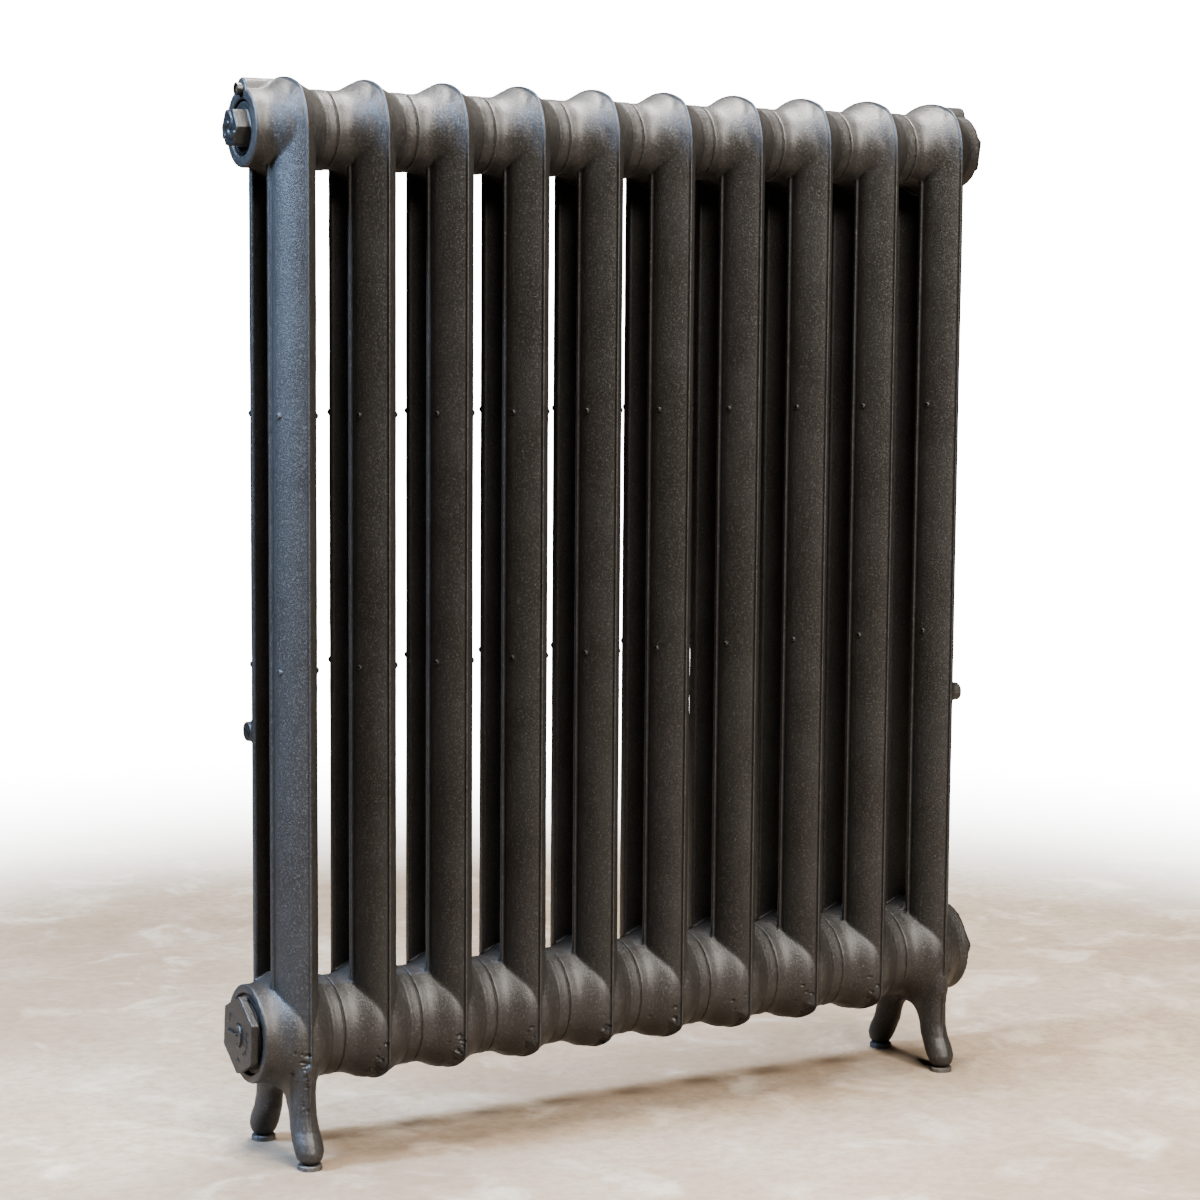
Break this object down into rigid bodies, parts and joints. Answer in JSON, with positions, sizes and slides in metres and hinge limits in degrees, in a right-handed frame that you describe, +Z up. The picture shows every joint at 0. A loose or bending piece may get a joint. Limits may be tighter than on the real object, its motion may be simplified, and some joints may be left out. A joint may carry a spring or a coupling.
{
  "type": "cast iron radiator",
  "caption": "Free-standing two-column cast iron radiator with arched sections joined on nipples, screwed end plugs, an air vent and cast legs.",
  "frame": {"origin": "on the floor, under the middle of the radiator", "axes": "+X along the radiator, -Y its front, +Z up"},
  "size_m": [0.7859, 0.1294, 0.9558],
  "materials": {
    "painted_iron": "semi-matt anthracite paint over sand-cast grain",
    "painted_plug": "the same paint, a little smoother",
    "bare_iron": "bare machined iron",
    "joint_rubber": "black fibre and rubber joint rings",
    "vent_metal": "worn paint over plated metal",
    "vent_brass": "dull brass",
    "pad_metal": "worn, slightly rusted iron"
  },
  "bodies": {
    "root": {"air_vent_body": "vent_metal", "bottom_gasket_01": "joint_rubber", "bottom_gasket_02": "joint_rubber", "bottom_gasket_03": "joint_rubber", "bottom_gasket_04": "joint_rubber", "bottom_gasket_05": "joint_rubber", "bottom_gasket_06": "joint_rubber", "bottom_gasket_07": "joint_rubber", "bottom_gasket_08": "joint_rubber", "bottom_gasket_09": "joint_rubber", "bottom_nipple_01": "bare_iron", "bottom_nipple_02": "bare_iron", "bottom_nipple_03": "bare_iron", "bottom_nipple_04": "bare_iron", "bottom_nipple_05": "bare_iron", "bottom_nipple_06": "bare_iron", "bottom_nipple_07": "bare_iron", "bottom_nipple_08": "bare_iron", "bottom_nipple_09": "bare_iron", "foot_pads": "pad_metal", "section_01": "painted_iron", "section_02": "painted_iron", "section_03": "painted_iron", "section_04": "painted_iron", "section_05": "painted_iron", "section_06": "painted_iron", "section_07": "painted_iron", "section_08": "painted_iron", "section_09": "painted_iron", "section_10": "painted_iron", "side_boss_plug_left": "painted_plug", "side_boss_plug_right": "painted_plug", "top_gasket_01": "joint_rubber", "top_gasket_02": "joint_rubber", "top_gasket_03": "joint_rubber", "top_gasket_04": "joint_rubber", "top_gasket_05": "joint_rubber", "top_gasket_06": "joint_rubber", "top_gasket_07": "joint_rubber", "top_gasket_08": "joint_rubber", "top_gasket_09": "joint_rubber", "top_nipple_01": "bare_iron", "top_nipple_02": "bare_iron", "top_nipple_03": "bare_iron", "top_nipple_04": "bare_iron", "top_nipple_05": "bare_iron", "top_nipple_06": "bare_iron", "top_nipple_07": "bare_iron", "top_nipple_08": "bare_iron", "top_nipple_09": "bare_iron"},
    "top_left_seal": {"top_left_seal": "joint_rubber"},
    "top_left_plug": {"top_left_plug": "painted_plug"},
    "top_right_seal": {"top_right_seal": "joint_rubber"},
    "top_right_plug": {"top_right_plug": "painted_plug"},
    "bottom_left_seal": {"bottom_left_seal": "joint_rubber"},
    "bottom_left_plug": {"bottom_left_plug": "painted_plug"},
    "bottom_right_seal": {"bottom_right_seal": "joint_rubber"},
    "bottom_right_plug": {"bottom_right_plug": "painted_plug"},
    "bleed_screw": {"bleed_screw": "vent_brass"}
  },
  "joints": [
    {"name": "top_left_plug_travel", "type": "slide", "parent": "root", "child": "top_left_seal", "axis": [-1, 0, 0], "range_m": [0, 0.0185]},
    {"name": "top_left_plug_turn", "type": "hinge", "parent": "top_left_seal", "child": "top_left_plug", "pos_m": [-0.3806, 0, 0.91045], "axis": [-1, 0, 0], "range_deg": [0, 2880]},
    {"name": "top_right_plug_travel", "type": "slide", "parent": "root", "child": "top_right_seal", "axis": [1, 0, 0], "range_m": [0, 0.0185]},
    {"name": "top_right_plug_turn", "type": "hinge", "parent": "top_right_seal", "child": "top_right_plug", "pos_m": [0.3806, 0, 0.91045], "axis": [1, 0, 0], "range_deg": [0, 2880]},
    {"name": "bottom_left_plug_travel", "type": "slide", "parent": "root", "child": "bottom_left_seal", "axis": [-1, 0, 0], "range_m": [0, 0.0185]},
    {"name": "bottom_left_plug_turn", "type": "hinge", "parent": "bottom_left_seal", "child": "bottom_left_plug", "pos_m": [-0.3806, 0, 0.1143], "axis": [-1, 0, 0], "range_deg": [0, 2880]},
    {"name": "bottom_right_plug_travel", "type": "slide", "parent": "root", "child": "bottom_right_seal", "axis": [1, 0, 0], "range_m": [0, 0.0185]},
    {"name": "bottom_right_plug_turn", "type": "hinge", "parent": "bottom_right_seal", "child": "bottom_right_plug", "pos_m": [0.3806, 0, 0.1143], "axis": [1, 0, 0], "range_deg": [0, 2880]},
    {"name": "bleed_screw_turn", "type": "hinge", "parent": "root", "child": "bleed_screw", "pos_m": [-0.3806, 0, 0.94345], "axis": [-1, 0, 0], "range_deg": [0, 540]}
  ],
  "couplings": [
    {"joint": "top_left_plug_travel", "follows": "top_left_plug_turn", "m_per_rad": 0.0003675},
    {"joint": "top_right_plug_travel", "follows": "top_right_plug_turn", "m_per_rad": 0.0003675},
    {"joint": "bottom_left_plug_travel", "follows": "bottom_left_plug_turn", "m_per_rad": 0.0003675},
    {"joint": "bottom_right_plug_travel", "follows": "bottom_right_plug_turn", "m_per_rad": 0.0003675}
  ]
}
